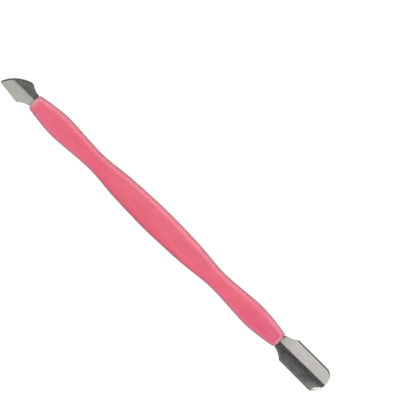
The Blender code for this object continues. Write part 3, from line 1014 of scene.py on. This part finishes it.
# --- steel and adhesive -----------------------------------------------------------
def steel_material(name, tint, warm, neck, tip, tip_over, duller, dull_x, dull_y):
    """Stainless sheet: faint lines from rolling, small marks and stains, a tint at neck and tip.

    tip_over is the x range where the tip's tint comes in.  The steel gets rougher
    by duller, coming in over the ranges dull_x and dull_y.
    """
    made, graph, shader, place, (x, y, _) = start_material(name)
    stain = graph.noise(place, scale=0.28, detail=3.0, roughness=0.55, distortion=0.5)
    body = graph.mix(graph.fade(stain, over=(0.35, 0.65)), tint, warm)
    # a reddish-brown tint where the neck leaves the handle: partly a thin smear of adhesive, partly a
    # painted reflection of the pink handle and painted shade at the joint
    distance = graph.absolute(x)
    uneven = graph.times(graph.noise(place, scale=1.1, detail=3.0, roughness=0.6), by=0.9)
    distance = graph.math("SUBTRACT", distance, uneven)
    smear_and_reflection = graph.fade(distance, over=(HALF - 0.25, HALF + 0.95), to=(1.0, 0.0))

    # the stain shifts x, by 1.5 at its middle
    drift = graph.plus(x, graph.times(stain, by=3.0))
    at_neck = graph.fade(graph.absolute(drift), over=(HALF + 3.0, HALF + 6.5), to=(1.0, 0.0))
    body = graph.tint(body, at_neck, colour=neck)
    at_tip = graph.fade(drift, over=[edge + 1.5 for edge in tip_over])
    body = graph.tint(body, at_tip, colour=tip)

    grain = graph.grain(place, stretch=(0.8, 16.0, 16.0), detail=3.0, roughness=0.6)
    speck = graph.noise(place, scale=3.2, roughness=0.6)
    cloud = graph.noise(place, scale=0.95, detail=3.0, roughness=0.55, distortion=0.3)
    clouded = graph.fade(cloud, over=(0.36, 0.68), to=(0.0, 0.16))
    body = graph.tint(body, clouded, colour=(0.30, 0.295, 0.28, 1.0))
    lined = graph.fit(grain, over=(0.3, 0.7), to=(0.0, 0.06))
    body = graph.tint(body, lined, colour=(0.20, 0.20, 0.19, 1.0))
    specked = graph.fit(speck, over=(0.64, 0.74), to=(0.0, 0.08))
    body = graph.tint(body, specked, colour=(0.16, 0.155, 0.15, 1.0))

    # painted shade along the -Y side of the pusher's fold near its crease, thinner towards its tip
    swing = graph.times(graph.math("SUBTRACT", cloud, 0.5), by=1.2)
    wander = graph.plus(y, swing)
    one_side = graph.fit(y, over=(-0.05, -0.35))
    crease_shade = graph.times(one_side, graph.fade(wander, over=(-2.1, -1.1)))
    crease_shade = graph.times(crease_shade, graph.fit(x, over=(HALF + 1.9, HALF + 3.0)))
    crease_shade = graph.times(crease_shade, graph.fit(x, over=(HALF + 19.0, HALF + 12.0), to=(0.25, 1.0)))
    body = graph.tint(body, graph.times(crease_shade, by=0.5), colour=(0.25, 0.245, 0.235, 1.0))
    # painted reflection of the handle and painted shade, with an adhesive smear, at the neck's root
    body = graph.tint(body, graph.times(smear_and_reflection, by=0.75), colour=(0.42, 0.23, 0.21, 1.0))

    rub = graph.noise(place, scale=0.9, detail=3.0, roughness=0.6, distortion=0.3)
    rough = graph.fit(rub, over=(0.3, 0.7), to=(0.19, 0.29))
    rough = graph.plus(rough, graph.times(graph.fit(grain, over=(0.35, 0.7)), by=0.03))
    along = graph.fit(drift, over=[edge + 1.5 for edge in dull_x])
    spot_share = graph.times(along, graph.fit(y, over=dull_y))
    rough = graph.plus(rough, graph.times(spot_share, by=duller))

    mark_a = graph.grain(place, stretch=(1.1, 13.0, 13.0), turn=0.9, detail=1.0)
    mark_b = graph.grain(place, stretch=(1.0, 12.0, 12.0), turn=-0.5, detail=1.0)
    mark_a = graph.fit(mark_a, over=(0.68, 0.76))
    marks = graph.plus(mark_a, graph.fit(mark_b, over=(0.68, 0.76)))
    waves = graph.noise(place, scale=0.55)
    normal = graph.bump(waves, distance=0.000018)
    normal = graph.bump(grain, distance=0.00000025, normal=normal)
    normal = graph.bump(marks, distance=-0.0000005, normal=normal)
    graph.feed(shader, {"Base Color": body, "Metallic": 1.0, "Roughness": rough, "Normal": normal})
    return made


def cut_edge_material(name, dark, light, rough):
    """A sheared or ground edge: fine lines through the sheet, duller than its faces."""
    made, graph, shader, place, (x, y, _) = start_material(name)
    lines = graph.grain(place, stretch=(9.0, 9.0, 0.7), detail=3.0, roughness=0.65)
    patch = graph.noise(place, scale=0.8)
    body = graph.mix(graph.fit(lines, over=(0.3, 0.7)), dark, light)
    body = graph.tint(body, graph.fit(patch, over=(0.35, 0.65), to=(0.0, 0.35)), colour=dark)
    # a painted highlight: brighter along the pusher's +Y flare
    begins = graph.fit(x, over=(HALF + 0.1, HALF + 0.6))
    flare = graph.times(begins, graph.fit(x, over=(HALF + 4.6, HALF + 3.9)))
    flare = graph.times(flare, graph.fit(y, over=(0.5, 1.5)))
    body = graph.tint(body, graph.times(flare, by=0.75), colour=(0.55, 0.54, 0.52, 1.0))
    graph.feed(shader, {
        "Base Color": body,
        "Metallic": 1.0,
        "Roughness": graph.fit(lines, over=(0.3, 0.7), to=rough),
        "Normal": graph.bump(lines, distance=0.000012),
    })
    return made


def adhesive_material():
    """Amber adhesive: paler at the knife; darker towards +Y, where it gathers thicker and where
    painted shade falls in the corner by the neck.
    """
    made, graph, shader, place, (x, y, _) = start_material("cured_amber_adhesive")
    cloud = graph.noise(place, scale=1.6, detail=3.0, roughness=0.6)
    thin = graph.mix(cloud, rgb(188, 124, 126), rgb(214, 160, 158))
    thin = graph.tint(thin, graph.math("LESS_THAN", x, 0.0), colour=rgb(248, 192, 196))
    # darker towards +Y: thicker adhesive, and painted shade in the corner between handle and neck
    gathered_and_shaded = graph.fade(graph.plus(y, graph.times(cloud, by=0.8)), over=(1.5, 2.3))
    graph.feed(shader, {
        "Base Color": graph.mix(gathered_and_shaded, thin, rgb(104, 50, 42)),
        "Roughness": 0.22,
        "IOR": 1.5,
        "Transmission Weight": 0.15,
        "Normal": graph.bump(graph.noise(place, scale=3.0), distance=0.00003),
    })
    return made


# --- stage, in metres -------------------------------------------------------------
FLOOR_HALF, FLOOR_Z = 8.0, -0.00003
LENS, SENSOR = 200.0, 36.0             # of the camera, in millimetres
VIEW_WIDTH = 0.1216
VIEW_MIDDLE = (0.004868, 0.01373)
VIEW_RIGHT = (0.71597, 0.69813)        # the way in plan that runs to the right in the view
# soft boxes that shine only on the plastic: name, azimuth, elevation, size, power
SHEENS = (
    ("side_sheen", 0, 33, 1.1, 12.5),
    ("spoon_sheen", 90, 30, 0.7, 2.2),
    ("knife_sheen", 270, 30, 0.7, 4.0),
)


def build_floor():
    """A pale floor that the camera sees bright and the tool reflects dimmer."""
    draft = bmesh.new()
    bmesh.ops.create_grid(draft, x_segments=2, y_segments=2, size=FLOOR_HALF)
    for vert in draft.verts:
        vert.co.z = FLOOR_Z
    floor = finish_mesh(draft, "floor", sharp=30.0)
    made = bpy.data.materials.new("pale_floor")
    made.use_nodes = True
    graph = Graph(made.node_tree)
    out, seen = graph.add("OutputMaterial"), graph.add("AddShader")
    glow, paint = graph.add("Emission"), graph.add("BsdfDiffuse")
    graph.feed(glow, {"Color": (1.0, 1.0, 1.0, 1.0), "Strength": 0.90})
    graph.feed(paint, {"Color": (0.16, 0.16, 0.16, 1.0)})
    graph.feed(seen, {0: glow.outputs[0], 1: paint.outputs[0]})
    dim = graph.add("BsdfDiffuse")
    graph.feed(dim, {"Color": (0.42, 0.42, 0.42, 1.0)})
    by_ray(graph, out, other=dim, camera=seen)
    floor.data.materials.append(made)


def by_ray(graph, out, other, camera):
    """Send one shader to the output for camera rays and another for all the rest."""
    choose = graph.add("MixShader")
    is_camera = graph.add("LightPath").outputs["Is Camera Ray"]
    graph.feed(choose, {0: is_camera, 1: other.outputs[0], 2: camera.outputs[0]})
    graph.feed(out, {"Surface": choose.outputs[0]})


def direction(azimuth, elevation):
    """A unit vector: azimuth in degrees from +Y towards +X."""
    turn, lift = math.radians(azimuth), math.radians(elevation)
    level = math.cos(lift)
    return Vector((math.sin(turn) * level, math.cos(turn) * level, math.sin(lift)))


def build_world():
    """A soft studio for the surfaces to reflect; the camera itself sees a plain pale backdrop."""
    world = bpy.data.worlds.new("studio")
    bpy.context.scene.world = world
    world.use_nodes = True
    graph = Graph(world.node_tree)
    way = graph.add("TexCoord").outputs["Generated"]

    def lobe(azimuth, elevation, inner, outer):
        """1 within inner degrees of a direction, 0 beyond outer."""
        facing = graph.vector("DOT_PRODUCT", way, tuple(direction(azimuth, elevation)))
        limits = (math.cos(math.radians(outer)), math.cos(math.radians(inner)))
        return graph.fade(facing, over=limits)

    # an even ceiling, a brighter wall at -Y, a window at +X, dark cards at +Y and the corner by it
    level = graph.fade(graph.split(way)[2], over=(0.0, 0.35), to=(0.30, 0.80))
    wall = lobe(azimuth=180, elevation=32, inner=24, outer=50)
    level = graph.plus(level, graph.times(wall, by=0.14))
    low_window = graph.times(lobe(azimuth=88, elevation=8, inner=12, outer=26), by=0.7)
    high_window = lobe(azimuth=104, elevation=29, inner=13, outer=26)
    window = graph.math("MAXIMUM", low_window, high_window)
    level = graph.plus(level, graph.times(window, by=2.2))
    card = graph.times(lobe(azimuth=0, elevation=14, inner=26, outer=42), by=0.88)
    corner = graph.times(lobe(azimuth=46, elevation=2, inner=22, outer=34), by=0.45)
    kept = graph.math("SUBTRACT", 1.0, graph.math("MAXIMUM", card, corner))
    level = graph.times(level, kept)
    studio, backdrop = graph.add("Background"), graph.add("Background")
    graph.feed(studio, {"Color": graph.vector("SCALE", (1.0, 0.995, 0.985), scale=level)})
    graph.feed(backdrop, {"Color": (1.0, 1.0, 1.0, 1.0), "Strength": 1.04})
    by_ray(graph, graph.add("OutputWorld"), other=studio, camera=backdrop)


def area_light(name, azimuth, elevation, distance, size, power, diffuse=True, glossy=True):
    """A disk light aimed at the origin."""
    light = bpy.data.lights.new(name, "AREA")
    light.shape = "DISK"
    light.size = size
    light.energy = power
    obj = bpy.data.objects.new(name, light)
    way = direction(azimuth, elevation)
    obj.location = way * distance
    obj.rotation_mode = "QUATERNION"
    obj.rotation_quaternion = way.to_track_quat("Z", "Y")
    obj.visible_camera = False
    obj.visible_diffuse = diffuse
    obj.visible_glossy = glossy
    bpy.context.scene.collection.objects.link(obj)
    return obj


def only_on(light, piece):
    """Let a light reach this piece alone."""
    group = bpy.data.collections.new(light.name + "_reach")
    group.objects.link(piece)
    light.light_linking.receiver_collection = group


def build_lights(handle):
    area_light(
        "overhead", azimuth=0, elevation=74, distance=1.0, size=0.8, power=3.3, glossy=False
    )
    for name, azimuth, elevation, size, power in SHEENS:
        sheen = area_light(name, azimuth, elevation, 0.9, size, power, diffuse=False)
        only_on(sheen, handle)


def build_camera():
    """Straight down, turned so that the tool runs from knife upper left to pusher lower right."""
    data = bpy.data.cameras.new("camera")
    data.lens, data.sensor_width = LENS, SENSOR
    data.clip_start, data.clip_end = 0.01, 30.0
    camera = bpy.data.objects.new("camera", data)
    right = Vector((*VIEW_RIGHT, 0.0))
    up = Vector((-right.y, right.x, 0.0))
    turn = Matrix((right, up, Vector((0.0, 0.0, 1.0)))).transposed()
    height = MIDDLE_Z * MM + VIEW_WIDTH * LENS / SENSOR
    camera.matrix_world = Matrix.Translation((*VIEW_MIDDLE, height)) @ turn.to_4x4()
    bpy.context.scene.collection.objects.link(camera)
    bpy.context.scene.camera = camera


# --- put together -----------------------------------------------------------------
plastic = plastic_material()
pusher_steel = steel_material(
    "tumbled_steel",
    tint=(0.625, 0.61, 0.60, 1.0), warm=(0.595, 0.58, 0.565, 1.0),
    neck=(0.52, 0.525, 0.485, 1.0), tip=(0.60, 0.59, 0.565, 1.0), tip_over=(64.0, 69.0),
    duller=0.20, dull_x=(65.8, 68.4), dull_y=(-1.2, -3.0),
)
knife_steel = steel_material(
    "stained_steel",
    tint=(0.53, 0.535, 0.505, 1.0), warm=(0.50, 0.505, 0.475, 1.0),
    neck=(0.48, 0.48, 0.45, 1.0), tip=(0.465, 0.475, 0.415, 1.0), tip_over=(-56.5, -59.5),
    duller=0.10, dull_x=(-57.5, -60.0), dull_y=(0.2, 1.0),
)
sheared = cut_edge_material(
    "sheared_edge",
    dark=(0.10, 0.098, 0.092, 1.0), light=(0.24, 0.235, 0.22, 1.0), rough=(0.35, 0.55),
)
ground_steel = cut_edge_material(
    "ground_edge",
    dark=(0.13, 0.13, 0.115, 1.0), light=(0.25, 0.25, 0.225, 1.0), rough=(0.30, 0.48),
)
adhesive = adhesive_material()

handle = as_piece(build_handle(), "handle", [plastic])
as_piece(build_pusher(), "pusher_head", [pusher_steel, sheared, ground_steel])
as_piece(build_knife(), "knife_head", [knife_steel, sheared, ground_steel])
pusher_bond = build_adhesive(
    "pusher_bond", side=1, fold=PUSHER_FOLD, blobs=((0.45, 0.30, 0.42), (2.7, 0.3, 0.15))
)
as_piece(pusher_bond, "pusher_adhesive", [adhesive])
knife_bond = build_adhesive(
    "knife_bond", side=-1, fold=KNIFE_FOLD, blobs=((0.35, 0.28, 0.40), (3.5, 0.3, 0.12))
)
as_piece(knife_bond, "knife_adhesive", [adhesive])

build_floor()
build_world()
build_lights(handle)
build_camera()
bpy.context.scene.view_settings.view_transform = "Standard"
bpy.context.scene.view_settings.look = "None"
